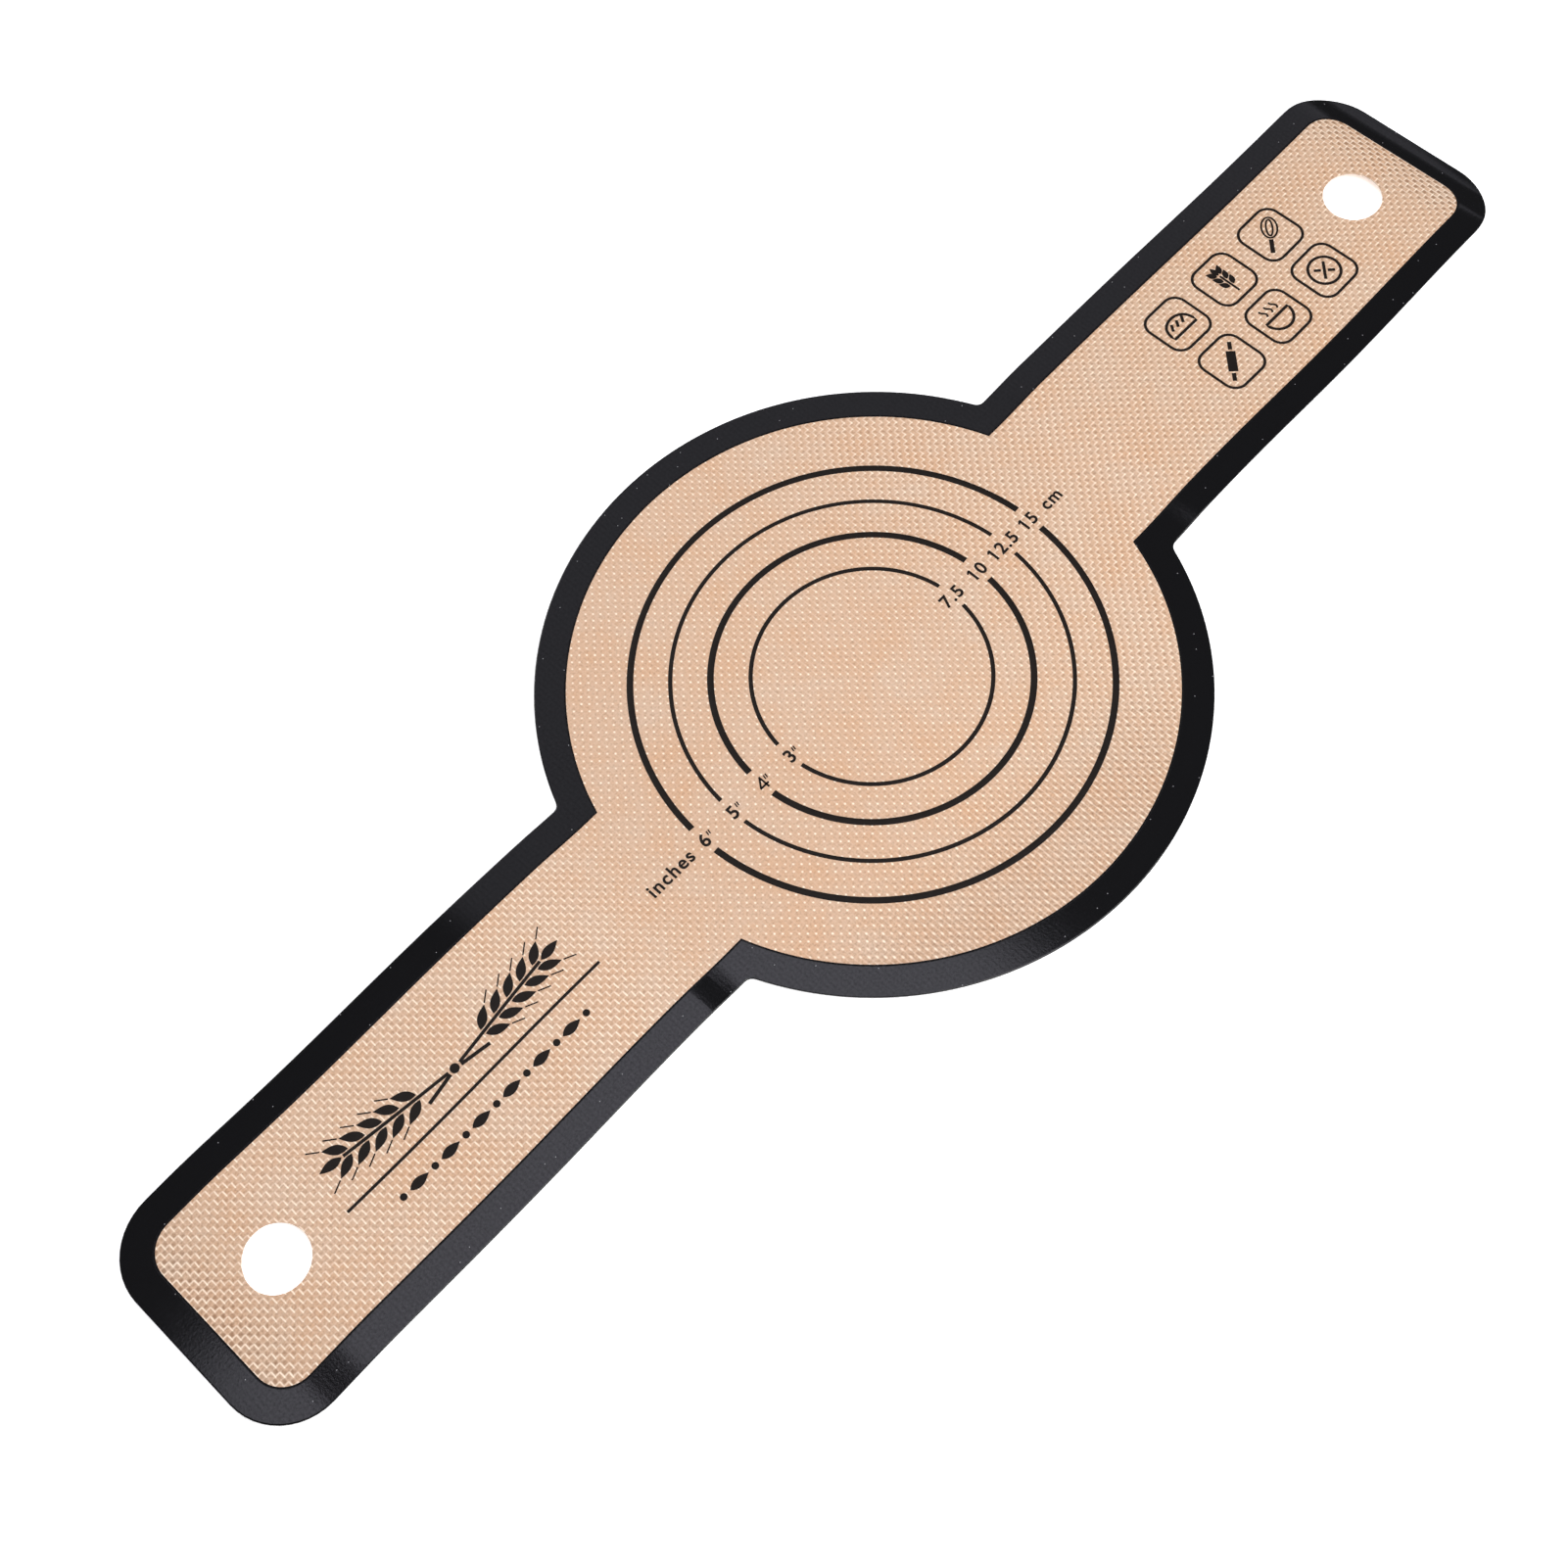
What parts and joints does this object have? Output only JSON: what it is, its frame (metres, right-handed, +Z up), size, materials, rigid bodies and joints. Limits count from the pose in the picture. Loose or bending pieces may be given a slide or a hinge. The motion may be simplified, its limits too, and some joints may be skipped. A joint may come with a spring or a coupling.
{
  "type": "bread sling",
  "caption": "Thin silicone and glass-cloth baking sling: a round bed with printed size rings and a fold-up handle strap on each side, edged in black and holed at the ends.",
  "frame": {"origin": "centre of the round bed, on the surface that the sling lies on", "axes": "+X along the handles towards the right handle, +Y across the handles, +Z up from the surface"},
  "size_m": [0.558, 0.21, 0.0009],
  "materials": {
    "beige_silicone": "satin, see-through, over a plain weave",
    "black_silicone": "glossy, with the weave showing faintly",
    "glass_cloth": "plain-woven glass fibre",
    "black_ink": "satin silicone print"
  },
  "bodies": {
    "bed": {"bed_lower_coat": "beige_silicone", "bed_glass_cloth": "glass_cloth", "bed_upper_coat": "beige_silicone", "bed_border_rear": "black_silicone", "bed_border_front": "black_silicone", "size_ring_1_rear": "black_ink", "size_ring_1_front": "black_ink", "size_ring_2_rear": "black_ink", "size_ring_2_front": "black_ink", "size_ring_3_rear": "black_ink", "size_ring_3_front": "black_ink", "size_ring_4_rear": "black_ink", "size_ring_4_front": "black_ink"},
    "right_handle": {"right_handle_lower_coat": "beige_silicone", "right_handle_glass_cloth": "glass_cloth", "right_handle_upper_coat": "beige_silicone", "right_handle_border": "black_silicone"},
    "left_handle": {"left_handle_lower_coat": "beige_silicone", "left_handle_glass_cloth": "glass_cloth", "left_handle_upper_coat": "beige_silicone", "left_handle_border": "black_silicone"}
  },
  "joints": [
    {"name": "right_handle_fold", "type": "hinge", "parent": "bed", "child": "right_handle", "pos_m": [0.10507, 0, 0.00075], "axis": [0, -1, 0], "range_deg": [0, 120]},
    {"name": "left_handle_fold", "type": "hinge", "parent": "bed", "child": "left_handle", "pos_m": [-0.10507, 0, 0.00075], "axis": [0, 1, 0], "range_deg": [0, 120]}
  ]
}
